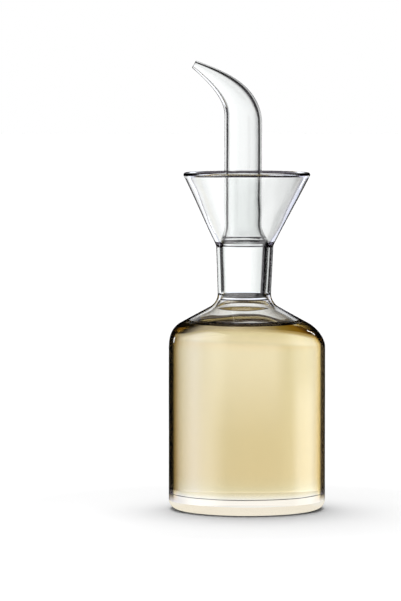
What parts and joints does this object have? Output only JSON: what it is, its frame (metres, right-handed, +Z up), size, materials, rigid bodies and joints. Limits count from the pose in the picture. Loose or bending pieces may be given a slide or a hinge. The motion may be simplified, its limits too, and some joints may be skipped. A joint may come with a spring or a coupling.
{
  "type": "oil dispenser bottle",
  "caption": "Clear glass oil dispenser: round flask with a funnel collar, a hollow stopper with a bent tapering spout, and oil inside.",
  "frame": {"origin": "centre of the flat base, where the bottle stands", "axes": "+Z up along the flask, the spout's tip points to -X, and the shown side faces -Y"},
  "size_m": [0.08, 0.08, 0.2288],
  "materials": {
    "bottle_glass": "clear blown glass, polished",
    "stopper_glass": "clear drawn glass, polished",
    "olive_oil": "clear pale golden oil"
  },
  "bodies": {
    "root": {"bottle": "bottle_glass", "spout_stopper": "stopper_glass", "oil": "olive_oil"}
  },
  "joints": []
}
